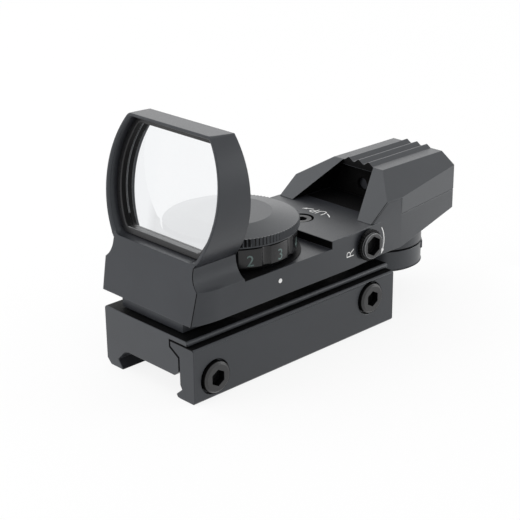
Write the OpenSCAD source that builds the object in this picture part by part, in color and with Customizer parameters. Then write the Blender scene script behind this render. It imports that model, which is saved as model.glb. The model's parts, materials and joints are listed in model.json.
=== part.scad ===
// Open reflex sight, used as a red dot finder, with a clamp for a dovetail rail.
// X runs across the sight, Y from the lens end to the emitter end, Z up.
// Every piece is drawn from the front edge of the base and the lower edge of the jaws,
// and placed() then moves it so that the origin lies on the rail seat.

/* [Rail clamp] */
// Length of the base and of the loose jaw
base_len = 57; // [55:0.5:66]
// Width of the base across its lips
base_w = 25.2; // [24.6:0.1:27]
// Height of the base's top above the lower edge of the jaws
base_top = 12.8; // [12:0.1:15]
// Height of the rail seat above the lower edge of the jaws
seat_h = 4.5; // [4:0.1:5]
// Distance from the centre plane to the apex of the fixed dovetail
apex_x = 9; // [8.6:0.1:9.6]
// Height of the dovetail's apex
apex_z = 1.95; // [1.6:0.05:2.3]
// Thickness of the lip that covers the jaw's tongue
lip_t = 1.05; // [0.8:0.05:1.4]
// Overhang of the lip past the jaw's inner face
lip_over = 2.4; // [2:0.1:2.8]
// Thickness of the jaw plate
jaw_t = 4.2; // [3.6:0.1:5]
// Reach of the jaw's hook under the rail
hook_reach = 1.2; // [0.8:0.1:1.5]
// Length of the jaw's tongue under the lip
tongue_len = 2.6; // [2:0.1:3]
// Thickness of the tongue's tip
tongue_t = 1.15; // [0.9:0.05:1.5]
// Radius of the clamp screws
clamp_r = 2; // [1.75:0.05:2.2]
// Radius of the clamp screws' heads
clamp_head_r = 3.2; // [2.9:0.05:3.3]
// Height by which the clamp screws' heads stand proud
clamp_proud = 0.9; // [0.6:0.1:1.4]
// Corner radius of the hex sockets of the clamp screws
clamp_hex_r = 1.75; // [1.4:0.05:1.9]
// Distance of the front clamp screw from the front of the base
front_screw_y = 5.4; // [4.6:0.1:7]
// Height of the front clamp screw, which crosses the groove as a recoil lug
front_screw_z = 4.4; // [4.2:0.1:4.8]
// Distance of the rear clamp screw from the rear of the base
rear_screw_in = 7.5; // [6:0.1:9]
// Height of the rear clamp screw above the seat
rear_screw_up = 2.95; // [2.6:0.05:3.2]

/* [Tilt and turn] */
// Gap between the base and the body
float_gap = 3.05; // [2.6:0.05:4]
// Distance of the pivot from the front of the base
pivot_y = 9; // [8.5:0.1:10]
// Radius of the saddle's stud
stud_r = 2.5; // [2:0.1:3]
// Depth of the stud in the base
stud_len = 5.6; // [4:0.1:5.8]
// Half width of the saddle plate
saddle_hw = 9.2; // [8:0.1:11]
// Front edge of the saddle plate
saddle_y0 = 2; // [1.5:0.1:4]
// Length of the saddle plate
saddle_len = 14; // [13:0.5:18]
// Radius of the saddle's lug around the hinge pin
lug_r = 2.4; // [2.1:0.1:2.6]
// Half width of the saddle's lug
lug_hw = 4.5; // [3.5:0.1:6]
// Height of the hinge pin above the body's underside
pin_up = 2.2; // [2:0.05:2.4]
// Radius of the hinge pin
pin_r = 1.2; // [0.9:0.05:1.4]
// Half length of the hinge pin
pin_half = 8; // [7:0.1:9]

/* [Body] */
// Half width of the body beside the dial
body_hw = 14.5; // [14:0.1:16]
// Radius of the body's front corners in plan
corner_r = 22; // [16:0.5:30]
// Length of the rounded front corners
corner_len = 6.9; // [5:0.1:8]
// Front edge of the body, from the front of the base
front_y = 0.4; // [0:0.1:1]
// Angle at which the front leans back
lean = 11.8; // [10:0.1:13]
// Height of the lower deck above the body's underside
deck_up = 5.9; // [5.8:0.05:8]
// Height of the raised deck above the lower deck
deck_step_h = 1.65; // [0.6:0.05:2]
// Clearance around the dial at the deck's step
dial_gap = 0.45; // [0.35:0.05:0.8]
// Distance between the lens and the battery cap
lens_gap = 1.4; // [1:0.05:2]
// Distance from the deck's step to the elevation screw
elev_back = 5.75; // [5:0.05:7]
// Distance from the elevation screw to the windage screw
wind_back = 5.3; // [5:0.1:6.5]
// Height of the windage screw above the body's underside
wind_up = 3.95; // [3.6:0.05:4.4]
// Distance from the windage screw to the foot of the emitter cover
cheek_back = 1.6; // [1.2:0.1:3]
// Amount by which each side is drawn in at the emitter cover
tail_in = 0.9; // [0.4:0.1:1.4]
// Amount by which each side is drawn in at the rear end
rear_in = 3.7; // [2.4:0.1:4.4]
// Distance from the foot of the emitter cover to the start of the tail's taper
taper_back = 9.8; // [9:0.1:11]
// Distance from the selector's axis to the rear end
tail_back = 12; // [11.4:0.1:15]
// Rise of the tail's underside towards the rear
tail_rise = 3.2; // [2:0.1:3.6]

/* [Hood and lens] */
// Height of the hood's front top edge above the body's underside
hood_up = 35.4; // [33:0.2:38]
// Depth of the hood, from the front of the base to its rear face
hood_back = 13.5; // [12.5:0.1:14]
// Half width of the hood at its widest
hood_hw = 16.45; // [15.8:0.05:17]
// Radius of the hood's bulging sides
hood_r = 19; // [17.8:0.1:20]
// Height of the widest point above the body's underside
hood_wide_up = 23.1; // [22:0.1:24]
// Height of the neck, where the sides turn outwards, above the body's underside
neck_up = 11; // [10.6:0.1:11.6]
// Radius of the concave flare below the neck
flare_r = 4.2; // [3.8:0.1:5]
// Half width of the neck
neck_hw = 12; // [11.5:0.1:12.2]
// Height of the neck's straight side above the flare
neck_h = 0.8; // [0.3:0.1:1.2]
// Slope of the hood's top towards the rear
top_slope = 4; // [2:0.5:5]
// Thickness of the hood's side walls
hood_wall = 0.9; // [0.7:0.05:1.3]
// Thickness of the hood's top wall
top_wall = 0.8; // [0.75:0.05:1.4]
// Radius of the hood's upper corners
hood_corner_r = 1.5; // [0.8:0.1:2]
// Radius of the window's lower corners
sill_corner_r = 2.6; // [2:0.1:3.2]
// Height of the window's sill above the body's underside
sill_up = 11.65; // [11.4:0.05:12.4]
// Depth of the shroud in front of the lens ring
shroud = 2; // [1.4:0.1:2.4]
// Thickness of the lens ring
ring_t = 1.5; // [1.2:0.1:1.7]
// Width of the lens ring's rim
ring_w = 1.3; // [1:0.05:1.6]
// Thickness of the lens
lens_t = 1.4; // [1.2:0.1:1.6]
// Thickness of the gasket behind the lens
gasket_t = 0.3; // [0.2:0.05:0.4]
// Width of the ledge that carries the gasket
ledge_w = 0.8; // [0.6:0.05:1.1]

/* [Dial] */
// Radius of the number ring
dial_r = 13.3; // [13:0.1:14]
// Height of the number ring
dial_h = 4.6; // [4.3:0.05:5]
// Height of the recessed foot under the number ring
dial_foot_h = 0.8; // [0.5:0.05:1]
// Thickness of the dial's floor
dial_floor = 1.2; // [1.1:0.05:1.5]
// Number of places on the dial
dial_places = 12; // [8:1:16]
// Radius of the flutes between the numbers
flute_r = 1.6; // [1.3:0.05:2]
// Depth of the flutes
flute_depth = 0.45; // [0.3:0.05:0.6]
// Radius of the coin battery
cell_r = 10; // [9.5:0.1:10.4]
// Height of the coin battery
cell_h = 3.2; // [2.6:0.1:3.4]
// Overhang of the battery cap over the number ring
cap_over = 0.55; // [0.3:0.05:0.8]
// Height of the cap's knurled rim
knurl_h = 1.9; // [1.5:0.1:2.3]
// Number of knurls
knurl_n = 108; // [80:2:120]
// Radius of the flat on the cap's top
cap_flat_r = 8.35; // [7:0.05:10]
// Height of the cap's cone
cap_cone_h = 1.2; // [0.8:0.1:1.8]
// Radius of the dial's hub
hub_r = 3; // [2.5:0.1:3.4]

/* [Emitter] */
// Height of the cover's widest edge above the raised deck
crease_up = 3.75; // [3.4:0.05:4.4]
// Height of the cover's roof above the raised deck
roof_up = 8.1; // [7.9:0.1:9.5]
// Half width of the roof
roof_hw = 7.1; // [6.4:0.1:8]
// Slope of the cover's front, from level
cheek_slope = 37; // [34:0.5:42]
// Half width of the mouth at the deck
mouth_hw = 9.7; // [9:0.1:10.2]
// Half width of the mouth where it meets the roof
mouth_top_hw = 4.4; // [4.2:0.1:5]
// Thickness of the roof over the mouth
roof_t = 1.2; // [0.9:0.05:1.5]
// Distance of the roof's front edge behind the cover's sloping front
roof_back = 0.1; // [0:0.05:0.5]
// Number of ridges on the roof
ridge_n = 3; // [1:1:3]
// Distance between the ridges
ridge_pitch = 2.9; // [2.6:0.1:3.1]
// Height of the ridges
ridge_h = 0.72; // [0.5:0.02:0.9]
// Width of the level strip between the ridges
ridge_gap = 0.5; // [0.3:0.05:0.8]
// Radius of the reticle drum
drum_r = 5; // [4.6:0.1:5.4]
// Height of the reticle drum
drum_h = 5.2; // [4.6:0.1:5.3]
// Radius of the selector knob and of the boss above it
knob_r = 9.2; // [8:0.1:9.4]
// Height of the selector knob
knob_h = 4.8; // [4:0.1:6]
// Distance of the selector knob's top below the body's underside
knob_drop = 3.9; // [3.2:0.1:4.6]
// Distance from the start of the taper to the selector's axis
knob_back = 8.8; // [8.4:0.1:10]
// Least distance between the base's rear end and the selector knob
knob_clear = 2; // [1.6:0.1:3]
// Reach of the selector's lever beyond the knob
lever_reach = 0.2; // [0.1:0.1:2]

/* [Screws and springs] */
// Radius of the elevation screw's head
elev_head_r = 2.3; // [2:0.05:2.4]
// Radius of the elevation and windage screws' shanks
adjust_r = 1.5; // [1.3:0.05:1.6]
// Radius of the windage screw's serrated collar
wind_collar_r = 3.4; // [3.1:0.05:3.5]
// Radius of the windage screw's front ring
wind_ring_r = 2.75; // [2.6:0.05:2.9]
// Radius of the windage post
post_r = 1.5; // [1.2:0.05:1.8]
// Wire radius of the return springs
wire_r = 0.3; // [0.2:0.02:0.35]
// Free travel left at the tips of the adjusting screws
tip_gap = 0.95; // [0.9:0.05:1.2]

/* [Clearances] */
// Gap of sliding faces and of the seams between covers
slide_gap = 0.2; // [0.15:0.01:0.3]
// Radial gap of shafts in their bores
run_gap = 0.05; // [0.03:0.01:0.08]
// Radial gap of the clamp screws' heads in their sinkings
head_gap = 0.4; // [0.2:0.05:0.5]
// Height of the seam between the housing and the emitter cover
seam_gap = 0.08; // [0.05:0.01:0.15]
// Radial gap of parts that are pressed or screwed in
seat_gap = 0.02; // [0.01:0.01:0.04]

/* [Hidden] */
$fn = 96;

black = "#2b2c2e";
dark = "#1d1e20";
steel = "#3a3b3d";
bright = "#a9abad";
rubber = "#17181a";
glass = "#cfe0e4";
pcb = "#2f5a3a";
lens_red = "#a03030";

// Overlap that makes joined solids one piece, and reach of the cuts past a face
eps = 0.01;
past = 1;
far = 60;

// Rail clamp
base_hw = base_w / 2;
jaw_in = base_hw - lip_over;
jaw_out = jaw_in + jaw_t;
jaw_top = base_top - lip_t - slide_gap;
tongue_x = jaw_in - tongue_len;
tongue_fall = 0.6 * tongue_len;
hook_x = jaw_in - hook_reach;
wall_x = jaw_in - slide_gap;
foot_r = 1.2;
edge = 0.4;
tip_in = 1.4;
seat_bevel = 1.2;
seat_in = 3.4;
seat_x0 = apex_x - seat_in;
seat_fall = 0.4;
seat_x1 = hook_x - 0.4;
rear_screw_y = base_len - rear_screw_in;
rear_screw_z = seat_h + rear_screw_up;
head_sink = 1.2;
hex_depth = 1.6;
screw_end = 1;

// Heights of the body
body_z = base_top + float_gap;
deck_z = body_z + deck_up;
deck_high = deck_z + deck_step_h;
hood_top = body_z + hood_up;
neck_z = body_z + neck_up;
sill_z = body_z + sill_up;
wide_z = body_z + hood_wide_up;
wind_z = body_z + wind_up;

// Places along the body
cap_r = dial_r + cap_over;
lens_y0 = shroud + ring_t;
seat_depth = lens_y0 + lens_t + gasket_t;
lens_back_y = front_y + (neck_up + 1.7) * tan(lean) + (lens_y0 + lens_t) / cos(lean);
dial_y = lens_back_y + lens_gap + cap_r;
step_y = dial_y + cap_r + dial_gap;
elev_y = step_y + elev_back;
wind_y = elev_y + wind_back;
cheek_y = wind_y + cheek_back;
taper_y = cheek_y + taper_back;
knob_y = max(taper_y + knob_back, base_len + knob_clear + knob_r);
tail_y = knob_y + tail_back;
tail_len = tail_y - taper_y;
tail_hw = body_hw - tail_in;
rear_hw = body_hw - rear_in;
corner_y = front_y + corner_len;
narrow_before = 4.6;
narrow_after = 3.8;
narrow_y0 = wind_y - narrow_before;
narrow_y1 = cheek_y + narrow_after;

// Saddle
plate_z0 = base_top + slide_gap;
plate_z1 = body_z - 0.45;
pin_z = body_z + pin_up;
lug_top = pin_z + lug_r;

// Room for the adjusting screws under the deck
cover_t = 1.3;
cover_in = 4;
cover_hw = body_hw - cover_in;
cover_screw_r = 0.8;
cover_head_r = 1.35;
cover_head_t = 0.6;
cover_screw_len = 2.4;
cover_screw_in = 1.6;
head_sunk = 0.1;
cover_rim = 3.2;
room_front = 0.2;
room_back = 2.8;
room_side = 1.1;
room_hw = cover_hw - room_side;
room_y0 = step_y - room_front;
room_y1 = wind_y + room_back;
cover_y0 = room_y0 - cover_rim;
cover_y1 = room_y1 + cover_rim;
room_z0 = body_z + cover_t;
room_z1 = deck_z - 0.4;
bolt_r = 1.25;
bolt_head_r = 3;
bolt_gap = 0.9;
bolt_x = bolt_head_r + bolt_gap - room_hw;
bolt_y = room_y0 + bolt_head_r + 0.6;
bolt_head_t = 1.1;
bolt_head_z = room_z1 - tip_gap - bolt_head_t;
spring_r = 2.55;
wind_spring_r = 1.3;
spring_gap = 0.05;
collar_gap = 0.1;
collar_t = 0.8;
collar_tooth = 0.25;
ring_proud = 0.7;
ring_wall = 0.6;
post_top = room_z1 - tip_gap;
post_foot_r = 2.4;
post_depth = min(2.8, base_top - rear_screw_z - clamp_r - 0.5);
pass_gap = 0.95;

// Dial
dial_z0 = deck_z + slide_gap;
dial_z1 = dial_z0 + dial_h;
floor_z = dial_z0 + dial_floor;
flange_t = 0.5;
flange_r = hub_r + 1.4;
contact_t = 0.3;
cell_z = floor_z + contact_t + 0.05;
cell_top = cell_z + cell_h;
well_r = cell_r + 0.15;
skirt_r = well_r + 1.15;
skirt_z = floor_z + 0.8;
cap_gap = 0.45;
cap_z0 = max(dial_z1 + cap_gap, cell_top - knurl_h + 0.4);
knurl_d = 0.3;
rim_foot = 0.3;
dial_foot_in = 0.8;
dial_turn = 3.5;
cap_z1 = cap_z0 + knurl_h;
cap_top = cap_z1 + cap_cone_h;
cap_roof = cell_top + 0.15;
seal_t = 0.25;
board_t = 0.8;
board_r = cell_r - 1;
ball_r = 0.8;
ball_ring = dial_r - 2;

// Emitter
roof_z = deck_high + roof_up;
crease_z = deck_high + crease_up;
cheek_run = (crease_z - deck_high) / tan(cheek_slope);
roof_y = cheek_y + roof_up / tan(cheek_slope) + roof_back;
ridge_hw = (ridge_pitch - ridge_gap) / 2;
ridge_top = 0.12;
ridge_end = 0.2;
ear_x = tail_hw - 1.3;
ear_back = 0.5;
ear_gap = 0.03;
bezel_t = 0.8;
bezel_y = knob_y - drum_r - 0.6 - bezel_t;
drum_z0 = deck_high + 0.4;
drum_z1 = drum_z0 + drum_h;
drum_wall = 0.8;
shaft_r = 3;
led_board_t = 0.7;
led_board_z = drum_z1 + 0.3;
led_r = 1.5;
knob_z1 = body_z - knob_drop;
knob_z0 = knob_z1 - knob_h;
boss_z = knob_z1 + 0.4;
lever_hw = 1.6;
lever_h = 1.8;
reticle_n = 4;
reticle_step = 30;

tail_screw_in = 3.4;
tail_screw_side = 2.6;
tail_screw_r = 1;
tail_head_r = 1.9;
tail_head_t = 1;
tail_screw_len = 3;
tail_head_sunk = 0.2;
knob_screw_r = 1.2;
knob_screw_head_r = 2.4;
knob_screw_head_t = 1.2;
knob_screw_len = 2.8;
head_in = 0.2;
tail_screw_z = body_z + tail_rise * (tail_len - tail_screw_in) / tail_len;

// Frame and helpers
module placed() translate([0, -base_len / 2, -seat_h]) children();

module along_y(y0, y1) translate([0, y1, 0]) rotate([90, 0, 0]) linear_extrude(y1 - y0) children();

module along_x(x0, x1) translate([x0, 0, 0]) rotate([90, 0, 90]) linear_extrude(x1 - x0) children();

module along_z(z0, z1) translate([0, 0, z0]) linear_extrude(z1 - z0) children();

module rod_x(x0, x1, r, y, z) translate([x0, y, z]) rotate([0, 90, 0]) cylinder(h = x1 - x0, r = r);

module rod_y(y0, y1, r, x, z) translate([x, y1, z]) rotate([90, 0, 0]) cylinder(h = y1 - y0, r = r);

module rod_z(z0, z1, r, x, y) translate([x, y, z0]) cylinder(h = z1 - z0, r = r);

module block(x0, x1, y0, y1, z0, z1) translate([x0, y0, z0]) cube([x1 - x0, y1 - y0, z1 - z0]);

module both_sides() {
    children();
    mirror([1, 0, 0]) children();
}

// A slab between two depths behind the leaning front plane
module lean_slab(d0, d1)
    translate([0, front_y, body_z]) rotate([-lean, 0, 0])
        translate([-far, d0, -far]) cube([2 * far, d1 - d0, 3 * far]);

// Hexagonal socket along X, open at x1
module hex_x(x0, x1, r, y, z) translate([x0, y, z]) rotate([0, 90, 0]) cylinder(h = x1 - x0, r = r, $fn = 6);

// Round outline with n fine teeth
module toothed(r, depth, n)
    polygon([for (i = [0 : 2 * n - 1]) let (a = i * 180 / n, q = r - (i % 2) * depth) [q * cos(a), q * sin(a)]]);

// Coil spring along Z, swept as one tube with flat-ended turns
module coil(r, wire, height, turns) {
    rings = 10 * turns;
    sides = 6;
    pts = [for (i = [0 : rings], j = [0 : sides - 1])
        let (a = 360 * turns * i / rings, b = 360 * j / sides, q = r + wire * cos(b))
        [q * cos(a), q * sin(a), wire + (height - 2 * wire) * i / rings + wire * sin(b)]];
    walls = [for (i = [0 : rings - 1], j = [0 : sides - 1])
        let (k = (j + 1) % sides, p = i * sides, q = p + sides)
        each [[p + j, p + k, q + k], [p + j, q + k, q + j]]];
    first = [for (j = [1 : sides - 2]) [0, j + 1, j]];
    last = [for (j = [1 : sides - 2]) let (p = rings * sides) [p, p + j, p + j + 1]];
    polyhedron(points = pts, faces = [for (f = concat(walls, first, last)) [f[0], f[2], f[1]]]);
}

// Rail clamp
module base_outline()
    polygon([
        [-base_hw, foot_r], [-base_hw + foot_r, 0], [-apex_x + tip_in, 0], [-apex_x, apex_z],
        [-apex_x + seat_h - seat_fall - apex_z, seat_h - seat_fall], [-seat_x0, seat_h],
        [seat_x1, seat_h], [wall_x, seat_h + seat_bevel],
        [wall_x, jaw_top - tongue_t - tongue_fall - slide_gap],
        [tongue_x - slide_gap, jaw_top - tongue_t - slide_gap],
        [tongue_x - slide_gap, jaw_top + slide_gap], [base_hw, jaw_top + slide_gap],
        [base_hw, base_top - edge], [base_hw - edge, base_top],
        [-base_hw + edge, base_top], [-base_hw, base_top - edge]
    ]);

module rail_base() color(black) placed() difference() {
    along_y(0, base_len) base_outline();
    rod_x(-base_hw - past, base_hw + past, clamp_r + run_gap, front_screw_y, front_screw_z);
    rod_x(-base_hw - past, base_hw + past, clamp_r + run_gap, rear_screw_y, rear_screw_z);
    rod_z(base_top - stud_len - 0.3, base_top + past, stud_r + run_gap, 0, pivot_y);
    rod_z(base_top - post_depth, base_top + past, post_foot_r + run_gap, 0, wind_y);
    rod_z(base_top - 4, base_top + past, bolt_r + run_gap, bolt_x, bolt_y);
}

module jaw_outline()
    polygon([
        [jaw_out, edge], [jaw_out, jaw_top - edge], [jaw_out - edge, jaw_top], [tongue_x, jaw_top],
        [tongue_x, jaw_top - tongue_t], [jaw_in, jaw_top - tongue_t - tongue_fall],
        [jaw_in, apex_z + 1], [jaw_in + 0.5, apex_z + 0.2], [hook_x, 0.7], [hook_x + 0.35, 0.1],
        [hook_x + 1, 0], [jaw_out - edge, 0]
    ]);

module clamp_jaw() color(black) placed() difference() {
    along_y(0, base_len) jaw_outline();
    for (p = [[front_screw_y, front_screw_z], [rear_screw_y, rear_screw_z]]) {
        rod_x(tongue_x - past, jaw_out + past, clamp_r + run_gap, p[0], p[1]);
        rod_x(jaw_out - head_sink, jaw_out + past, clamp_head_r + head_gap, p[0], p[1]);
    }
}

module clamp_screw(y, z) color(steel) placed() difference() {
    union() {
        rod_x(-base_hw + screw_end, jaw_out - head_sink + 0.1, clamp_r, y, z);
        rod_x(jaw_out - head_sink + run_gap, jaw_out + clamp_proud - edge, clamp_head_r, y, z);
        translate([jaw_out + clamp_proud - edge - eps, y, z]) rotate([0, 90, 0])
            cylinder(h = edge + eps, r1 = clamp_head_r, r2 = clamp_head_r - edge);
    }
    hex_x(jaw_out + clamp_proud - hex_depth, jaw_out + clamp_proud + past, clamp_hex_r, y, z);
}

module front_clamp_screw() clamp_screw(front_screw_y, front_screw_z);

module rear_clamp_screw() clamp_screw(rear_screw_y, rear_screw_z);

// Posts that stand on the base and reach into the body
module windage_post() color(steel) placed() union() {
    rod_z(base_top - post_depth, base_top + 0.6, post_foot_r, 0, wind_y);
    rod_z(base_top, post_top, post_r, 0, wind_y);
}

module spring_bolt() color(steel) placed() difference() {
    union() {
        rod_z(base_top - 4, bolt_head_z + eps, bolt_r, bolt_x, bolt_y);
        rod_z(bolt_head_z, bolt_head_z + bolt_head_t, bolt_head_r, bolt_x, bolt_y);
    }
    translate([bolt_x - 0.4, bolt_y - far, bolt_head_z + bolt_head_t - 0.5]) cube([0.8, 2 * far, past]);
}

// Saddle that turns on the base for windage and carries the tilting body
module pivot_saddle() color(black) placed() difference() {
    union() {
        block(-saddle_hw, saddle_hw, saddle_y0, saddle_y0 + saddle_len, plate_z0, plate_z1);
        rod_z(base_top - stud_len, plate_z0 + eps, stud_r, 0, pivot_y);
        along_x(-lug_hw, lug_hw) {
            translate([pivot_y, pin_z]) circle(lug_r);
            translate([pivot_y - lug_r, plate_z1 - eps]) square([2 * lug_r, pin_z - plate_z1 + eps]);
        }
    }
    rod_x(-saddle_hw, saddle_hw, pin_r + run_gap, pivot_y, pin_z);
}

module hinge_pin() color(bright) placed() rod_x(-pin_half, pin_half, pin_r, pivot_y, pin_z);

// Plan outline of the body, with round front corners and a tapered tail
module plan_outline() difference() {
    polygon([
        [-body_hw, -past], [body_hw, -past], [body_hw, narrow_y0], [tail_hw, narrow_y1],
        [tail_hw, taper_y], [rear_hw, tail_y], [-rear_hw, tail_y], [-tail_hw, taper_y],
        [-tail_hw, narrow_y1], [-body_hw, narrow_y0]
    ]);
    both_sides() difference() {
        translate([body_hw - 4, -2 * past]) square([8, corner_y + 2 * past]);
        translate([body_hw - corner_r, corner_y]) circle(corner_r);
    }
}

// Half width of the body's side wall where it narrows towards the tail
function side_x(y) = body_hw - (body_hw - tail_hw) * max(0, min(1, (y - narrow_y0) / (narrow_y1 - narrow_y0)));

// What a rounded corner takes off where a bulging side of the hood meets a level edge
module corner_cut(bow_r, turn_r, edge_z, up) {
    bow_x = hood_hw - hood_r;
    turn_z = edge_z - up * turn_r;
    turn_x = bow_x + sqrt(pow(bow_r - turn_r, 2) - pow(turn_z - wide_z, 2));
    out_x = (turn_x - bow_x) / (bow_r - turn_r);
    out_z = (turn_z - wide_z) / (bow_r - turn_r);
    both_sides() difference() {
        polygon([
            [turn_x, turn_z], [turn_x + 2 * turn_r * out_x, turn_z + 2 * turn_r * out_z],
            [turn_x + 2 * turn_r, edge_z + up * past], [turn_x, edge_z + up * past]
        ]);
        translate([turn_x, turn_z]) circle(turn_r);
    }
}

// Barrel outline of the hood, drawn in by an inset, with its upper corners rounded
module barrel(inset, z0, z1) {
    bow_r = hood_r - inset;
    bow_x = hood_hw - hood_r;
    difference() {
        intersection() {
            translate([-bow_x, wide_z]) circle(bow_r);
            translate([bow_x, wide_z]) circle(bow_r);
            translate([-far, z0]) square([2 * far, z1 - z0]);
        }
        corner_cut(bow_r, hood_corner_r - inset / 3, z1, 1);
    }
}

// Outline of the window in the hood, drawn in by an inset from its widest
module window(inset) difference() {
    barrel(hood_wall + inset, sill_z + inset, hood_top - top_wall - inset);
    corner_cut(hood_r - hood_wall - inset, sill_corner_r - inset, sill_z + inset, -1);
}

// Block below the hood, with a concave flare on each side
module neck_solid() difference() {
    along_z(body_z, neck_z) plan_outline();
    block(-far, far, hood_back, 3 * far, body_z - past, neck_z + past);
    both_sides() {
        rod_y(-past, hood_back + past, flare_r, neck_hw + flare_r, neck_z - neck_h);
        block(neck_hw, far, -past, hood_back + past, neck_z - neck_h, neck_z + past);
    }
}

module hood_solid() {
    along_y(0, hood_back) barrel(0, neck_z - eps, hood_top + eps);
    neck_solid();
}

module body_solid() difference() {
    along_z(body_z, deck_high) plan_outline();
    block(-far, far, -past, step_y, deck_z, deck_high + past);
    along_x(-far, far)
        polygon([[taper_y, body_z], [tail_y + past, body_z + tail_rise * (tail_len + past) / tail_len],
            [tail_y + past, body_z - past], [taper_y, body_z - past]]);
}

// Side ears of the housing that close the lower corners of the emitter cover
module ear_outline(grow)
    polygon([
        [cheek_y + ear_back - grow, deck_high], [taper_y + grow, deck_high],
        [taper_y + grow, crease_z - slide_gap + grow],
        [cheek_y + ear_back + cheek_run - grow, crease_z - slide_gap + grow]
    ]);

module ears(grow) both_sides() along_x(ear_x - grow, tail_hw) ear_outline(grow);

module housing() color(black) placed() difference() {
    union() {
        body_solid();
        hood_solid();
        translate([0, 0, -eps]) ears(0);
        rod_z(boss_z, body_z + tail_rise, knob_r, 0, knob_y);
    }
    lean_slab(-far, 0);
    translate([0, front_y + hood_up * tan(lean), hood_top]) rotate([-top_slope, 0, 0])
        translate([-far, -far, 0]) cube([2 * far, 2 * far, far]);
    intersection() {
        along_y(-past, hood_back + past) window(0);
        lean_slab(-past, seat_depth);
    }
    along_y(-past, hood_back + past) window(ledge_w);
    rod_z(deck_z, cap_z1 + past, cap_r + dial_gap, 0, dial_y);
    rod_z(deck_z - board_t - 0.1, deck_z + past, board_r + slide_gap, 0, dial_y);
    rod_z(body_z + 1.5, deck_z, hub_r + seat_gap, 0, dial_y);
    dial_ball_hole();
    selector_ball_hole();
    block(-lug_hw - 0.4, lug_hw + 0.4, pivot_y - lug_r - 0.4, pivot_y + lug_r + 0.4, body_z - past, lug_top + 0.35);
    rod_x(-far, pin_half + seat_gap, pin_r + seat_gap, pivot_y, pin_z);
    block(-cover_hw, cover_hw, cover_y0, cover_y1, body_z - past, room_z0);
    block(-room_hw, room_hw, room_y0, room_y1, room_z0 - eps, room_z1);
    cover_screw_places() rod_z(body_z, room_z0 + cover_screw_len + seat_gap, cover_screw_r + seat_gap, 0, 0);
    rod_z(room_z1 - past, deck_high + past, adjust_r + run_gap, 0, elev_y);
    rod_z(deck_high - 1.7, deck_high + past, elev_head_r + 0.4, 0, elev_y);
    rod_x(room_hw - past, far, adjust_r + run_gap, wind_y, wind_z);
    rod_z(boss_z - past, deck_high + past, shaft_r + run_gap, 0, knob_y);
    rod_z(deck_high - 0.2, deck_high + past, drum_r + slide_gap, 0, knob_y);
    tail_screw_places() {
        rod_z(body_z - past, deck_high + past, tail_screw_r + seat_gap, 0, 0);
        rod_z(body_z - past, tail_screw_z + tail_head_sunk + tail_head_t, tail_head_r + seat_gap, 0, 0);
    }
}

// Lens pack, held in the leaning window
module lens_part(d0, d1, inset) intersection() {
    along_y(-past, hood_back + past) window(inset);
    lean_slab(d0, d1);
}

module lens() color(glass) placed() lens_part(lens_y0, lens_y0 + lens_t, seat_gap);

module lens_ring() color(dark) placed() difference() {
    lens_part(shroud, lens_y0, seat_gap);
    along_y(-past, hood_back + past) window(ring_w);
}

module lens_gasket() color(rubber) placed() difference() {
    lens_part(lens_y0 + lens_t, seat_depth, seat_gap);
    along_y(-past, hood_back + past) window(ledge_w);
}

// Cover under the adjusting room
module cover_screw_places()
    for (x = [-1, 1], y = [cover_y0 + cover_screw_in, cover_y1 - cover_screw_in])
        translate([x * (cover_hw - cover_screw_in), y, 0]) children();

module bottom_cover() color(black) placed() difference() {
    block(-cover_hw + slide_gap, cover_hw - slide_gap, cover_y0 + slide_gap, cover_y1 - slide_gap, body_z, room_z0);
    rod_z(body_z - past, room_z0 + past, adjust_r + slide_gap, 0, elev_y);
    rod_z(body_z - past, room_z0 + past, post_r + pass_gap, 0, wind_y);
    rod_z(body_z - past, room_z0 + past, bolt_r + pass_gap, bolt_x, bolt_y);
    cover_screw_places() {
        rod_z(body_z - past, room_z0 + past, cover_screw_r + seat_gap, 0, 0);
        rod_z(body_z - past, body_z + head_sunk + cover_head_t, cover_head_r + seat_gap, 0, 0);
    }
}

module bottom_cover_screws() color(steel) placed() cover_screw_places() difference() {
    union() {
        rod_z(body_z + head_sunk, room_z0 + cover_screw_len, cover_screw_r, 0, 0);
        rod_z(body_z + head_sunk, body_z + head_sunk + cover_head_t, cover_head_r, 0, 0);
    }
    translate([0, 0, body_z]) cylinder(h = cover_head_t, r = cover_head_r * 0.45, $fn = 6);
}

// Dial
module dial_ball_place() rotate_about_dial(15) translate([ball_ring, 0, 0]) children();

module rotate_about_dial(a) translate([0, dial_y, 0]) rotate([0, 0, a]) children();

module dial_ball_hole() dial_ball_place() rod_z(deck_z - 3.4, deck_z + past, ball_r + run_gap, 0, 0);

module selector_ball_place() translate([0, knob_y - 6, 0]) children();

module selector_ball_hole() selector_ball_place() rod_z(boss_z - past, boss_z + 3.4, ball_r + run_gap, 0, 0);

module dial_hub() color(steel) placed() difference() {
    union() {
        rod_z(body_z + 1.5, floor_z - flange_t - 0.1 + eps, hub_r, 0, dial_y);
        rod_z(floor_z - flange_t - 0.1, floor_z - 0.1, flange_r, 0, dial_y);
    }
    rod_z(floor_z - 0.4, floor_z + past, 1, 0, dial_y, $fn = 6);
}

module contact_board() color(pcb) placed() difference() {
    rod_z(deck_z - board_t - 0.1, deck_z - 0.1, board_r, 0, dial_y);
    rod_z(deck_z - 2, deck_z + past, hub_r + slide_gap, 0, dial_y);
}

module detent_balls() color(bright) placed() {
    dial_ball_place() translate([0, 0, dial_z0 - 0.03 - ball_r]) sphere(ball_r);
    selector_ball_place() translate([0, 0, knob_z1 + 0.03 + ball_r]) sphere(ball_r);
}

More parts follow.
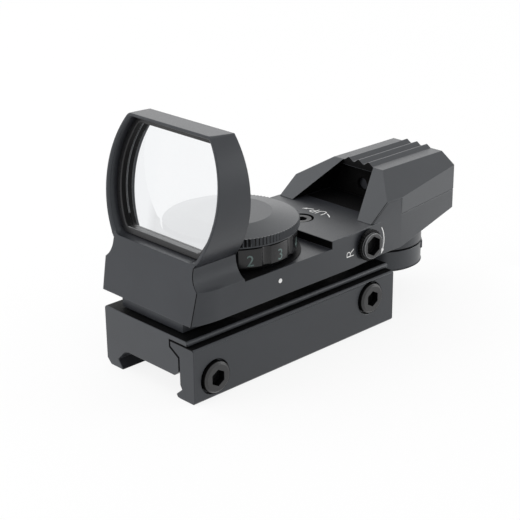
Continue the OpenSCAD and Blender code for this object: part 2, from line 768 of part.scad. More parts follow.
module detent_springs() color(bright) placed() {
    dial_low = deck_z - 3.4;
    knob_low = knob_z1 + 0.03 + 2 * ball_r + 0.02;
    dial_ball_place() translate([0, 0, dial_low])
        coil(ball_r - 0.2, 0.12, dial_z0 - 0.05 - 2 * ball_r - dial_low, 2.5);
    selector_ball_place() translate([0, 0, knob_low]) coil(ball_r - 0.2, 0.12, boss_z + 3.4 - knob_low, 2.5);
}

module dial_ring() color(dark) placed() difference() {
    union() {
        rod_z(dial_z0, dial_z0 + dial_foot_h + eps, dial_r - dial_foot_in, 0, dial_y);
        rod_z(dial_z0 + dial_foot_h, dial_z1, dial_r, 0, dial_y);
    }
    rod_z(floor_z, dial_z1 + past, well_r, 0, dial_y);
    rod_z(skirt_z, dial_z1 + past, skirt_r + slide_gap, 0, dial_y);
    rod_z(dial_z0 - past, floor_z + past, hub_r + run_gap, 0, dial_y);
    rod_z(floor_z - flange_t - 0.15, floor_z + past, flange_r + slide_gap, 0, dial_y);
    for (i = [0 : dial_places - 1]) rotate_about_dial(dial_turn + (i + 0.5) * 360 / dial_places)
        rod_z(dial_z0 - past, dial_z1 + past, flute_r, dial_r + flute_r - flute_depth, 0);
}

module battery_contact() color(bright) placed() difference() {
    rod_z(floor_z, floor_z + contact_t, cell_r - 1.2, 0, dial_y);
    rod_z(floor_z - past, floor_z + past, flange_r + slide_gap, 0, dial_y);
}

module battery() color(bright) placed() union() {
    rod_z(cell_z, cell_z + 0.7, cell_r - 1, 0, dial_y);
    rod_z(cell_z + 0.7 - eps, cell_top, cell_r, 0, dial_y);
}

module battery_cap() color(black) placed() difference() {
    union() {
        rod_z(cap_z0, cap_z0 + rim_foot + eps, cap_r - knurl_d / 2, 0, dial_y);
        translate([0, dial_y, cap_z0 + rim_foot]) linear_extrude(knurl_h - rim_foot) toothed(cap_r, knurl_d, knurl_n);
        translate([0, dial_y, cap_z1 - eps]) cylinder(h = cap_cone_h, r1 = cap_r - knurl_d, r2 = cap_flat_r);
        rod_z(skirt_z + slide_gap, cap_z0 + eps, skirt_r, 0, dial_y);
    }
    rod_z(skirt_z - past, cap_roof, well_r, 0, dial_y);
}

module cap_seal() color(rubber) placed() difference() {
    rod_z(dial_z1 + 0.05, dial_z1 + 0.05 + seal_t, skirt_r + 1.2, 0, dial_y);
    rod_z(dial_z1 - past, dial_z1 + past, skirt_r + seat_gap, 0, dial_y);
}

// Adjusting screws and their springs
module elevation_screw() color(steel) placed() difference() {
    union() {
        rod_z(base_top + tip_gap, deck_high - 1.6 + eps, adjust_r, 0, elev_y);
        rod_z(deck_high - 1.6, deck_high - 0.15, elev_head_r, 0, elev_y);
    }
    rod_z(deck_high - 1.2, deck_high + past, 1.3, 0, elev_y, $fn = 6);
}

module elevation_spring() color(bright) placed() translate([bolt_x, bolt_y, room_z0 + spring_gap])
    coil(spring_r, wire_r, bolt_head_z - room_z0 - 2 * spring_gap, 1.5);

module windage_screw() color(steel) placed() difference() {
    x0 = max(side_x(wind_y - wind_collar_r), side_x(wind_y + wind_collar_r)) + collar_gap;
    union() {
        rod_x(post_r + tip_gap, x0 + eps, adjust_r, wind_y, wind_z);
        translate([x0, wind_y, wind_z]) rotate([90, 0, 90]) linear_extrude(collar_t) toothed(wind_collar_r, collar_tooth, 30);
        rod_x(x0 + collar_t - eps, x0 + collar_t + ring_proud, wind_ring_r, wind_y, wind_z);
    }
    hex_x(x0 + collar_gap, x0 + collar_t + ring_proud + past, wind_ring_r - ring_wall, wind_y, wind_z);
}

module windage_spring() color(bright) placed()
    translate([-room_hw + spring_gap, wind_y, wind_z]) rotate([0, 90, 0])
        coil(wind_spring_r, wire_r, room_hw - post_r - 2 * spring_gap, 6);

// Emitter
module tail_screw_places()
    both_sides() translate([rear_hw - tail_screw_side, tail_y - tail_screw_in, 0]) children();

module cheek_cut()
    translate([0, cheek_y, deck_high]) rotate([cheek_slope - 90, 0, 0])
        translate([-far, -far, -far]) cube([2 * far, far, 3 * far]);

// Half width of the mouth at a height
function mouth_x(z) = mouth_hw - (mouth_hw - mouth_top_hw) * (z - deck_high) / roof_up;

// Outline of the mouth between two heights, drawn in by an inset
module mouth(z0, z1, inset)
    polygon([
        [inset - mouth_x(z0), z0], [mouth_x(z0) - inset, z0],
        [mouth_x(z1) - inset, z1], [inset - mouth_x(z1), z1]
    ]);

module ridges()
    for (i = [0 : ridge_n - 1]) along_y(roof_y, tail_y - ridge_end)
        translate([(i - (ridge_n - 1) / 2) * ridge_pitch, roof_z])
            polygon([[-ridge_hw, -eps], [ridge_hw, -eps], [ridge_top, ridge_h], [-ridge_top, ridge_h]]);

module emitter_cover() color(black) placed() difference() {
    union() {
        difference() {
            intersection() {
                along_y(cheek_y - past, tail_y)
                    polygon([[-tail_hw, deck_high + seam_gap], [tail_hw, deck_high + seam_gap], [tail_hw, crease_z],
                        [roof_hw, roof_z], [-roof_hw, roof_z], [-tail_hw, crease_z]]);
                along_z(deck_high, roof_z + past) plan_outline();
            }
            cheek_cut();
        }
        ridges();
    }
    along_y(cheek_y - past, roof_y) mouth(deck_high - eps, roof_z + eps, 0);
    along_y(roof_y - past, bezel_y + bezel_t) mouth(deck_high - eps, roof_z - roof_t, 0);
    rod_z(deck_high - past, led_board_z + led_board_t, drum_r + 0.6, 0, knob_y);
    ears(ear_gap);
    tail_screw_places()
        rod_z(deck_high - past, deck_high + tail_screw_len + slide_gap, tail_screw_r + seat_gap, 0, 0);
}

module emitter_cover_screws() color(steel) placed() tail_screw_places() difference() {
    union() {
        rod_z(tail_screw_z + tail_head_sunk, deck_high + tail_screw_len, tail_screw_r, 0, 0);
        rod_z(tail_screw_z + tail_head_sunk, tail_screw_z + tail_head_sunk + tail_head_t, tail_head_r, 0, 0);
    }
    translate([0, 0, tail_screw_z]) cylinder(h = tail_head_t * 0.8, r = tail_head_r * 0.5, $fn = 6);
}

module emitter_bezel() color(rubber) placed() difference() {
    along_y(bezel_y, bezel_y + bezel_t) mouth(deck_high + seam_gap, roof_z - roof_t - seam_gap, seam_gap);
    rod_y(bezel_y - past, bezel_y + bezel_t + past, 1.4, 0, (drum_z0 + drum_z1) / 2);
}

module led_board() color(pcb) placed()
    rod_z(led_board_z, led_board_z + led_board_t - 0.02, drum_r + 0.6 - 0.05, 0, knob_y);

module led() color(lens_red) placed() union() {
    translate([0, knob_y, drum_z0 + 1.6 + led_r]) sphere(led_r);
    rod_z(drum_z0 + 1.6 + led_r, led_board_z, led_r, 0, knob_y);
}

module selector_knob() color(black) placed() difference() {
    union() {
        translate([0, knob_y, knob_z0]) cylinder(h = edge, r1 = knob_r - edge, r2 = knob_r);
        rod_z(knob_z0 + edge - eps, knob_z1, knob_r, 0, knob_y);
        rod_z(knob_z1 - eps, drum_z0 + eps, shaft_r, 0, knob_y);
        translate([0, knob_y, knob_z1 - lever_h]) rotate([0, 0, 45])
            translate([0, -lever_hw, 0]) cube([knob_r + lever_reach, 2 * lever_hw, lever_h]);
    }
    rod_z(knob_z0 - past, knob_z0 + head_in + knob_screw_head_t, knob_screw_head_r + seat_gap, 0, knob_y);
    rod_z(knob_z0, knob_z1 + knob_screw_len + slide_gap, knob_screw_r + seat_gap, 0, knob_y);
}

module selector_screw() color(steel) placed() difference() {
    union() {
        rod_z(knob_z0 + head_in, knob_z0 + head_in + knob_screw_head_t, knob_screw_head_r, 0, knob_y);
        rod_z(knob_z0 + head_in, knob_z1 + knob_screw_len, knob_screw_r, 0, knob_y);
    }
    translate([0, knob_y, knob_z0]) cylinder(h = head_in + knob_screw_head_t * 0.7, r = knob_screw_head_r * 0.46, $fn = 6);
}

module reticle_drum() color(bright) placed() difference() {
    rod_z(drum_z0 + 0.02, drum_z1, drum_r, 0, knob_y);
    rod_z(drum_z0 + 0.8, drum_z1 + past, drum_r - drum_wall, 0, knob_y);
    for (i = [0 : reticle_n - 1]) translate([0, knob_y, (drum_z0 + drum_z1) / 2])
        rotate([0, 0, -90 - i * reticle_step]) rotate([0, 90, 0]) cylinder(h = drum_r + past, r = 0.9);
}

rail_base();
windage_post();
spring_bolt();
clamp_jaw();
front_clamp_screw();
rear_clamp_screw();
pivot_saddle();
hinge_pin();
housing();
bottom_cover();
bottom_cover_screws();
lens();
lens_ring();
lens_gasket();
dial_hub();
contact_board();
detent_balls();
detent_springs();
dial_ring();
battery_contact();
battery();
battery_cap();
cap_seal();
elevation_screw();
elevation_spring();
windage_screw();
windage_spring();
emitter_cover();
emitter_cover_screws();
emitter_bezel();
led_board();
led();
selector_knob();
selector_screw();
reticle_drum();
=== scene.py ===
import json
import math
import bmesh
import bpy
from mathutils import Matrix, Vector
from mathutils.bvhtree import BVHTree


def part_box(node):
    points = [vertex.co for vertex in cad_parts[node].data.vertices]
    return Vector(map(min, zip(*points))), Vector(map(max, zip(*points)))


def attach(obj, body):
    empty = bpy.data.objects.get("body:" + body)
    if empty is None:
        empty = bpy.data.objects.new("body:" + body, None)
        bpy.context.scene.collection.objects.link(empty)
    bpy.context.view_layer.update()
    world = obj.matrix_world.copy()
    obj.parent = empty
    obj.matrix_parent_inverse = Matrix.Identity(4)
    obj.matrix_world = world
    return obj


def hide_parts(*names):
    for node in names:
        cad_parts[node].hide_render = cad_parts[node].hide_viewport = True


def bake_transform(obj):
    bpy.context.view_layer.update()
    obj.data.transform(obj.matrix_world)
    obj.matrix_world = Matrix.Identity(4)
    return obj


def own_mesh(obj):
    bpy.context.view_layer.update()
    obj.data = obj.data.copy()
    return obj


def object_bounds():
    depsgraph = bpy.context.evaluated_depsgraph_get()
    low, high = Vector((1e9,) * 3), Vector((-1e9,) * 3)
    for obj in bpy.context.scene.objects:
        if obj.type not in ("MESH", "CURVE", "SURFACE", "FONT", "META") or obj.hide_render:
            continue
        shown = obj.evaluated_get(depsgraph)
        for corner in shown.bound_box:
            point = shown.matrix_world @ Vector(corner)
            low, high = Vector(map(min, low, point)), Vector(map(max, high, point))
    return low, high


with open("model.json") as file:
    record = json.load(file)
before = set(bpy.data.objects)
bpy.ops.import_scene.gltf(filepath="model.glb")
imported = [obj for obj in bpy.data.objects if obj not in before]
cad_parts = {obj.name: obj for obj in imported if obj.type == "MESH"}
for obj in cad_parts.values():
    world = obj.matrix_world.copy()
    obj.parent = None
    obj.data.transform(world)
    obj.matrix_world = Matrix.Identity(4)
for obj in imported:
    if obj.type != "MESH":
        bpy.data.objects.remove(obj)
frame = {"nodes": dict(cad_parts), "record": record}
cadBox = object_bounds()
nodes = frame["nodes"]
mm = 0.001
scene = bpy.context.scene
scene.view_settings.view_transform = "Standard"
print("frame loaded with", len(nodes), "nodes")


def middle(name):
    low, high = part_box(name)
    return (low + high) / 2


def bodyOf(name):
    for body, members in frame["record"]["behaviour"]["bodies"].items():
        if name in members:
            return body
    return None


def slotOf(name):
    for row in frame["record"]["subparts"]:
        if row["node"] == name:
            return row["material_slot"]
    return None


# materials: one recipe, with the tint, the sheen and the grain of each finish
def makeFinish(name, look):
    mat = bpy.data.materials.new(name)
    mat.use_nodes = True
    tree = mat.node_tree
    links = tree.links
    shader = tree.nodes["Principled BSDF"]
    place = tree.nodes.new("ShaderNodeTexCoord")
    cloud = tree.nodes.new("ShaderNodeTexNoise")
    cloud.inputs["Scale"].default_value = look["cloudScale"]
    cloud.inputs["Detail"].default_value = 6
    cloud.inputs["Roughness"].default_value = 0.6
    links.new(place.outputs["Object"], cloud.inputs["Vector"])
    tint = tree.nodes.new("ShaderNodeValToRGB")
    tint.color_ramp.elements[0].position = 0.3
    tint.color_ramp.elements[1].position = 0.7
    tint.color_ramp.elements[0].color = (*look["deep"], 1)
    tint.color_ramp.elements[1].color = (*look["pale"], 1)
    links.new(cloud.outputs["Fac"], tint.inputs["Fac"])
    links.new(tint.outputs["Color"], shader.inputs["Base Color"])
    grain = tree.nodes.new("ShaderNodeTexNoise")
    grain.inputs["Scale"].default_value = look["grainScale"]
    grain.inputs["Detail"].default_value = 4
    links.new(place.outputs["Object"], grain.inputs["Vector"])
    sheen = tree.nodes.new("ShaderNodeMapRange")
    sheen.inputs["From Min"].default_value = 0.3
    sheen.inputs["From Max"].default_value = 0.7
    sheen.inputs["To Min"].default_value = look["rough"][0]
    sheen.inputs["To Max"].default_value = look["rough"][1]
    links.new(grain.outputs["Fac"], sheen.inputs["Value"])
    links.new(sheen.outputs["Result"], shader.inputs["Roughness"])
    bump = tree.nodes.new("ShaderNodeBump")
    bump.inputs["Strength"].default_value = look["grainStrength"]
    bump.inputs["Distance"].default_value = look["grainDepth"] * mm
    links.new(grain.outputs["Fac"], bump.inputs["Height"])
    links.new(bump.outputs["Normal"], shader.inputs["Normal"])
    shader.inputs["Metallic"].default_value = look.get("metal", 0)
    shader.inputs["Specular IOR Level"].default_value = look.get("gloss", 0.5)
    shader.inputs["Specular Tint"].default_value = (*look.get("glossTint", (1, 1, 1)), 1)
    shader.inputs["Coat Weight"].default_value = look.get("coat", 0)
    shader.inputs["Coat Roughness"].default_value = 0.1
    return mat


finishLooks = {
    "body_black": {  # bead-blasted aluminium, black anodised
        "deep": (0.0155, 0.0165, 0.02), "pale": (0.0195, 0.021, 0.025), "cloudScale": 90,
        "rough": (0.31, 0.41), "grainScale": 5200, "grainStrength": 0.25, "grainDepth": 0.012,
        "gloss": 0.51, "glossTint": (0.93, 0.97, 1.0),
    },
    "painted_shade_black": {  # painted shade: near black for the unlit insides of sockets, recesses and the emitter's mouth, and wherever else shade falls
        "deep": (0.0015, 0.0015, 0.0017), "pale": (0.0025, 0.0025, 0.0028), "cloudScale": 200,
        "rough": (0.45, 0.6), "grainScale": 3000, "grainStrength": 0.2, "grainDepth": 0.012, "gloss": 0.12,
    },
    "knurl_painted_shade": {  # painted shade on the flanks of the cap's knurling that the light misses
        "deep": (0.002, 0.002, 0.0025), "pale": (0.0035, 0.0035, 0.004), "cloudScale": 200,
        "rough": (0.4, 0.5), "grainScale": 3000, "grainStrength": 0.2, "grainDepth": 0.012, "gloss": 0.16,
    },
    "screw_black": {  # blackened steel
        "deep": (0.012, 0.012, 0.013), "pale": (0.02, 0.02, 0.021), "cloudScale": 220,
        "rough": (0.3, 0.42), "grainScale": 3000, "grainStrength": 0.2, "grainDepth": 0.012,
    },
    "steel": {  # bright drawn steel of pins, balls and springs
        "deep": (0.5, 0.5, 0.51), "pale": (0.6, 0.6, 0.6), "cloudScale": 400, "metal": 1,
        "rough": (0.22, 0.34), "grainScale": 2600, "grainStrength": 0.15, "grainDepth": 0.01,
    },
    "painted_light_black": {  # painted light: a paler copy of the body's black anodising, for the base, the emitter cover and the knob
        "deep": (0.0205, 0.0218, 0.0255), "pale": (0.0245, 0.0262, 0.0305), "cloudScale": 90,
        "rough": (0.31, 0.41), "grainScale": 5200, "grainStrength": 0.25, "grainDepth": 0.012,
        "gloss": 0.57, "glossTint": (0.93, 0.97, 1.0),
    },
    "ring_black": {  # lens ring, smooth anodising
        "deep": (0.008, 0.008, 0.009), "pale": (0.012, 0.012, 0.013), "cloudScale": 160,
        "rough": (0.26, 0.36), "grainScale": 4200, "grainStrength": 0.15, "grainDepth": 0.01,
    },
    "painted_highlight_lip": {  # painted highlight: light grey on the inner and slanted lips of the lens ring and on the windage screw's lip
        "deep": (0.16, 0.165, 0.17), "pale": (0.22, 0.225, 0.23), "cloudScale": 300,
        "rough": (0.3, 0.4), "grainScale": 3600, "grainStrength": 0.1, "grainDepth": 0.01,
    },
    "rubber": {  # gasket and seal
        "deep": (0.012, 0.012, 0.012), "pale": (0.018, 0.018, 0.018), "cloudScale": 300,
        "rough": (0.7, 0.85), "grainScale": 3600, "grainStrength": 0.3, "grainDepth": 0.02, "gloss": 0.3,
    },
    "dial_black": {  # polished black number ring
        "deep": (0.010, 0.010, 0.011), "pale": (0.016, 0.016, 0.017), "cloudScale": 120,
        "rough": (0.18, 0.26), "grainScale": 4200, "grainStrength": 0.1, "grainDepth": 0.008, "gloss": 0.36,
    },
    "contact": {  # sprung brass sheet
        "deep": (0.55, 0.42, 0.2), "pale": (0.68, 0.53, 0.28), "cloudScale": 300, "metal": 1,
        "rough": (0.25, 0.4), "grainScale": 2600, "grainStrength": 0.2, "grainDepth": 0.01,
    },
    "cell_steel": {  # plated coin cell
        "deep": (0.62, 0.62, 0.63), "pale": (0.72, 0.72, 0.72), "cloudScale": 200, "metal": 1,
        "rough": (0.2, 0.32), "grainScale": 2400, "grainStrength": 0.15, "grainDepth": 0.01,
    },
    "board": {  # circuit board with its green mask
        "deep": (0.012, 0.07, 0.03), "pale": (0.02, 0.11, 0.045), "cloudScale": 700,
        "rough": (0.3, 0.45), "grainScale": 1800, "grainStrength": 0.3, "grainDepth": 0.02,
    },
    "bezel_black": {  # matt plastic frame in front of the emitter
        "deep": (0.0015, 0.0015, 0.0015), "pale": (0.0025, 0.0025, 0.0025), "cloudScale": 300,
        "rough": (0.6, 0.75), "grainScale": 3000, "grainStrength": 0.3, "grainDepth": 0.02, "gloss": 0.1,
    },
    "led_red": {  # clear red epoxy
        "deep": (0.38, 0.015, 0.012), "pale": (0.5, 0.03, 0.02), "cloudScale": 500,
        "rough": (0.08, 0.16), "grainScale": 2000, "grainStrength": 0.05, "grainDepth": 0.006, "coat": 0.5,
    },
    "drum_metal": {  # blackened sheet with the etched reticles
        "deep": (0.004, 0.004, 0.004), "pale": (0.006, 0.006, 0.006), "cloudScale": 260,
        "rough": (0.35, 0.5), "grainScale": 2800, "grainStrength": 0.2, "grainDepth": 0.012, "gloss": 0.12,
    },
}
finishes = {name: makeFinish(name, look) for name, look in finishLooks.items()}

# the lens: a coated front that is part mirror, part window, a ground edge and a clear back
lensLooks = {
    "lens_coat": {
        "tint": (0.905, 0.917, 0.93), "rough": 0.03, "cover": 0.81, "metal": 1, "ripple": 0.015,
        "edgeCover": 0.965, "edgeFrom": -4.2, "edgeTo": -6.8,  # thicker towards one side
    },
    "lens_edge": {"tint": (0.055, 0.07, 0.07), "rough": 0.5, "cover": 1, "metal": 0, "ripple": 0.015},
    "lens_back": {"tint": (0.88, 0.93, 0.93), "rough": 0.02, "cover": 0.05, "metal": 0, "ripple": 0.02},
}


def makeGlass(name, look):
    mat = bpy.data.materials.new(name)
    mat.use_nodes = True
    tree = mat.node_tree
    shader = tree.nodes["Principled BSDF"]
    shader.inputs["Metallic"].default_value = look["metal"]
    shader.inputs["Roughness"].default_value = look["rough"]
    shader.inputs["Alpha"].default_value = look["cover"]
    place = tree.nodes.new("ShaderNodeTexCoord")
    cloud = tree.nodes.new("ShaderNodeTexNoise")
    cloud.inputs["Scale"].default_value = 45
    tint = tree.nodes.new("ShaderNodeValToRGB")
    tint.color_ramp.elements[0].color = (*look["tint"], 1)
    tint.color_ramp.elements[1].color = (*[min(1, c + look["ripple"]) for c in look["tint"]], 1)
    tree.links.new(place.outputs["Object"], cloud.inputs["Vector"])
    tree.links.new(cloud.outputs["Fac"], tint.inputs["Fac"])
    tree.links.new(tint.outputs["Color"], shader.inputs["Base Color"])
    if "edgeCover" in look:
        split = tree.nodes.new("ShaderNodeSeparateXYZ")
        cover = tree.nodes.new("ShaderNodeMapRange")
        cover.inputs["From Min"].default_value = look["edgeFrom"] * mm
        cover.inputs["From Max"].default_value = look["edgeTo"] * mm
        cover.inputs["To Min"].default_value = look["cover"]
        cover.inputs["To Max"].default_value = look["edgeCover"]
        tree.links.new(place.outputs["Object"], split.inputs["Vector"])
        tree.links.new(split.outputs["X"], cover.inputs["Value"])
        tree.links.new(cover.outputs["Result"], shader.inputs["Alpha"])
    return mat


glasses = {name: makeGlass(name, look) for name, look in lensLooks.items()}
finishes["lens_glass"] = glasses["lens_coat"]

paintLooks = {
    "white_paint": {  # filled marks
        "deep": (0.72, 0.72, 0.71), "pale": (0.85, 0.85, 0.84), "cloudScale": 900,
        "rough": (0.5, 0.65), "grainScale": 2600, "grainStrength": 0.2, "grainDepth": 0.01,
    },
    "number_paint": {  # grey-green fill of the dial's numbers
        "deep": (0.09, 0.135, 0.128), "pale": (0.13, 0.185, 0.175), "cloudScale": 800,
        "rough": (0.45, 0.6), "grainScale": 2600, "grainStrength": 0.2, "grainDepth": 0.01,
    },
}
paints = {name: makeFinish(name, look) for name, look in paintLooks.items()}
print("made", len(finishes) + len(glasses) + len(paints), "materials")

# every node takes the finish of its slot
for name, obj in nodes.items():
    obj.data.materials.clear()
    obj.data.materials.append(finishes[slotOf(name)])


# stand-ins for nodes: a copy of the solid that carries more than the CAD does
def standIn(name, mesh, mats, rides=True):
    for mat in mats:
        mesh.materials.append(mat)
    piece = bpy.data.objects.new(mesh.name, mesh)
    scene.collection.objects.link(piece)
    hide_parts(name)
    if rides:
        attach(piece, bodyOf(name))
    return piece


leanAngle = math.radians(11.8)  # of the hood's front plane, which passes through leanFoot (y, z)
leanFoot = (-28.1, 11.35)
leanOut = Vector((0, -math.cos(leanAngle), math.sin(leanAngle)))


def glazeLens():
    mesh = nodes["lens"].data.copy()
    mesh.name = "lens_glazed"
    mesh.materials.clear()
    facing = 0.9
    for face in mesh.polygons:
        side = face.normal.dot(leanOut)
        face.material_index = 0 if side > facing else 2 if side < -facing else 1
    standIn("lens", mesh, [glasses["lens_coat"], glasses["lens_edge"], glasses["lens_back"]])


glazeLens()


# edges that catch the light: a copy with its sharp edges broken, and painted shade and painted highlights
# on some of its faces
windowMiddle = Vector((0, -23 * mm, 34.5 * mm))


def onRim(vert):
    offset = vert.co - Vector((0, leanFoot[0] * mm, leanFoot[1] * mm))
    return abs(offset.dot(leanOut)) < 0.02 * mm


def rimEdges(body, ease):
    found = []
    for edge in body.edges:
        if not all(onRim(vert) for vert in edge.verts) or len(edge.link_faces) != 2:
            continue
        spot = (edge.verts[0].co + edge.verts[1].co) / 2
        wall = min(edge.link_faces, key=lambda face: face.normal.dot(leanOut))
        facesWindow = wall.normal.dot(windowMiddle - spot) > 0
        if facesWindow and spot.z > ease["rimLow"] * mm and edge.calc_face_angle(0) > ease["rimFold"]:
            found.append(edge)
    return found


# edges that slope down along a side
def seamEdges(body, ease):
    found = []
    for edge in body.edges:
        run = edge.verts[0].co - edge.verts[1].co
        top = max(vert.co.z for vert in edge.verts)
        slopes = abs(run.x) < 0.1 * mm and min(abs(run.y), abs(run.z)) > 1 * mm
        if slopes and top < ease["seamBelow"] * mm and edge.calc_face_angle(0) > ease["seamFold"]:
            found.append(edge)
    return found


def sharpEdges(body, ease):
    found = []
    least = ease.get("least", 0) * mm
    above = ease.get("above", -99) * mm
    angle = math.radians(ease.get("angle", 25))
    for edge in body.edges:
        if len(edge.link_faces) != 2 or edge.calc_length() <= least:
            continue
        if edge.calc_face_angle(0) > angle and min(vert.co.z for vert in edge.verts) > above:
            found.append(edge)
    return found


def breakEdges(body, edges, width, steps):
    bmesh.ops.bevel(
        body, geom=edges, offset=width * mm, offset_type="OFFSET", segments=steps,
        profile=0.5, affect="EDGES", clamp_overlap=False,
    )


# what a mark returns: the place of the face's finish in the list of the copy
ownFinish = 0
# painted shade
paintedShadeFinish = 1
# painted highlight
paintedHighlightFinish = 2
# painted shade on the knurl's flanks
shadedFlankFinish = 3


def easedCopy(name, ease, marking):
    body = bmesh.new()
    body.from_mesh(nodes[name].data)
    bmesh.ops.remove_doubles(body, verts=body.verts, dist=1e-6)
    bmesh.ops.dissolve_limit(
        body, angle_limit=math.radians(0.05), verts=body.verts, edges=body.edges,
        use_dissolve_boundaries=False, delimit=set(),
    )
    if "rimWidth" in ease:
        breakEdges(body, rimEdges(body, ease), ease["rimWidth"], steps=4)
    if "seam" in ease:
        breakEdges(body, seamEdges(body, ease), ease["seam"], steps=1)
    if "width" in ease:
        breakEdges(body, sharpEdges(body, ease), ease["width"], steps=2)
    for face in body.faces:
        face.smooth = True
    mesh = bpy.data.meshes.new(name + "_eased")
    body.to_mesh(mesh)
    body.free()
    mesh.set_sharp_from_angle(angle=math.radians(ease.get("crease", 24)))
    first = finishes[ease.get("finish", slotOf(name))]
    # the copy's finishes: its own, painted shade, painted highlight, and painted shade on the knurl's
    # flanks
    mats = [first, finishes["painted_shade_black"], finishes["painted_highlight_lip"], finishes["knurl_painted_shade"]]
    for face in mesh.polygons:
        face.material_index = marking(face.center, face.normal) if marking else ownFinish
    piece = standIn(name, mesh, mats if marking else mats[:1])
    if ease.get("flatFaces", True):
        weigh = piece.modifiers.new("flat_faces", "WEIGHTED_NORMAL")
        weigh.keep_sharp = True
    return piece


def slanted(share, steep=0.95):
    return 0.3 < share < steep


# painted shade inside the socket, below the collar and round the head; painted highlight on the slanted lip
def socketMark(name, look):
    axis = look["axis"]
    centre = middle(name)
    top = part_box(name)[1][axis]
    mouth = 0.2

    def mark(place, normal):
        away = place - centre
        away[axis] = 0
        reach = away.length / mm
        below = (top - place[axis]) / mm
        inSocket = reach < look["socket"] and below > mouth
        if inSocket or below > look.get("collar", 99) or reach > look.get("outer", 99):
            return paintedShadeFinish
        highlightOnLip = "lip" in look and reach > look["lip"] and slanted(normal[axis])
        return paintedHighlightFinish if highlightOnLip else ownFinish
    return mark


mouthLook = {"ceiling": 25.9, "crease": 22.8}


# painted shade on the inside of the emitter cover's mouth, on the crease along its foot, and on its faces
# turned down or inward
def mouthMark(place, normal):
    if place.z > mouthLook["ceiling"] * mm:
        return paintedShadeFinish if normal.y < -0.7 else ownFinish
    onCrease = place.z < mouthLook["crease"] * mm and 0.4 < abs(normal.x) < 0.9
    facesDown = normal.z < -0.5
    facesIn = normal.x * place.x < -0.2 * abs(place.x)
    return paintedShadeFinish if onCrease or facesDown or facesIn else ownFinish


screwMiddle = middle("elevation_screw")
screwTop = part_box("elevation_screw")[1].z
capMiddle = middle("battery_cap")
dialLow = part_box("dial_ring")[0].z
recessLook = {
    "radius": 2.8, "depth": 1.7, "rise": 0.1, "stepReach": 9, "stepDepth": 1.6,
    "cornerOut": 11, "cornerTop": 23,
}


# painted shade in the elevation screw's recess, on the step of the deck near it and on the slanted corners
# of the front
def recessMark(place, normal):
    away = Vector((place.x - screwMiddle.x, place.y - screwMiddle.y, 0)).length / mm
    below = (screwTop - place.z) / mm
    inRecess = away < recessLook["radius"] and -recessLook["rise"] < below < recessLook["depth"]
    onStep = normal.y < -0.9 and away < recessLook["stepReach"] and 0 < below < recessLook["stepDepth"]
    atCorner = abs(place.x) > recessLook["cornerOut"] * mm and place.z < recessLook["cornerTop"] * mm
    onCorner = atCorner and slanted(abs(normal.x)) and normal.y < -0.25
    return paintedShadeFinish if inRecess or onStep or onCorner else ownFinish


knurlLook = {"radius": 13.2, "turnAt": -0.42, "least": 0.3}


# painted shade on one flank of each tooth; beyond a turning point it is the other one
def knurlMark(place, normal):
    away = Vector((place.x - capMiddle.x, place.y - capMiddle.y, 0))
    across = away.normalized().cross(Vector((0, 0, 1))).dot(normal)
    if away.x > 0 and away.y > knurlLook["turnAt"] * away.length:
        across = -across
    isFlank = across > knurlLook["least"] and abs(normal.z) < knurlLook["least"]
    return shadedFlankFinish if isFlank and away.length > knurlLook["radius"] * mm else ownFinish


footHeight = 0.85


# painted shade on the foot of the dial ring
def footMark(place, normal):
    return paintedShadeFinish if place.z < dialLow + footHeight * mm else ownFinish


# painted shade on the faces turned up at the very top of a piece
def topMark(name):
    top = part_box(name)[1].z - 0.1 * mm

    def mark(place, normal):
        return paintedShadeFinish if normal.z > 0.95 and place.z > top else ownFinish
    return mark


seamLook = {"near": 7, "far": 10.6, "low": 1, "ledge": 6.8, "top": 7.7, "deep": 0.3}


# painted shade on the tops of base and jaw, and on the chamfers along the seam between them
def clampMark(name):
    onTop = topMark(name)
    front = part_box(name)[0].y + seamLook["deep"] * mm

    def mark(place, normal):
        across = place.x / mm
        level = place.z / mm
        onWall = across < seamLook["far"] and level > seamLook["low"]
        onLedge = level > seamLook["ledge"]
        onSeam = across > seamLook["near"] and level < seamLook["top"] and (onWall or onLedge)
        if onSeam and place.y < front and slanted(-normal.y):
            return paintedShadeFinish
        return onTop(place, normal)
    return mark


# the lens ring: painted highlight on its slanted lips, painted shade in its bore, and its sill keeps its
# finish
def ringMark(place, normal):
    side = normal.dot(leanOut)
    inward = normal - leanOut * side
    facesWindow = normal.dot(windowMiddle - place) > 0
    highlightOnLip = slanted(side, 0.9)
    if inward.z > 0.97 * inward.length and inward.length > 0.3:
        return paintedHighlightFinish if highlightOnLip else ownFinish
    if slanted(-side, 0.9) or highlightOnLip and not facesWindow:
        return paintedHighlightFinish
    return paintedShadeFinish if abs(side) < 0.3 and facesWindow else ownFinish


# lengths and heights in millimetres, angle and crease in degrees, folds in radians
edgeEases = {
    # the base, the emitter cover and the knob take the paler copy of the body's black, which is painted
    # light
    "rail_base": {"finish": "painted_light_black", "width": 0.14},
    "clamp_jaw": {"width": 0.14},
    "housing": {"width": 0.12, "rimWidth": 0.6, "rimLow": 23.3, "rimFold": 0.5},
    "emitter_cover": {
        "finish": "painted_light_black", "width": 0.08, "angle": 18, "least": 6, "above": 22.9,
        "seam": 0.09, "seamBelow": 22.8, "seamFold": 0.3,
    },
    "front_clamp_screw": {"width": 0.1},
    "rear_clamp_screw": {"width": 0.1},
    "selector_knob": {"finish": "painted_light_black", "width": 0.14},
    "elevation_screw": {"width": 0.12},
    "windage_screw": {"width": 0.12},
    "dial_ring": {"width": 0.08, "angle": 40},
    "lens_ring": {"width": 0.2, "angle": 40},
    "battery_cap": {"crease": 6, "flatFaces": False},
}
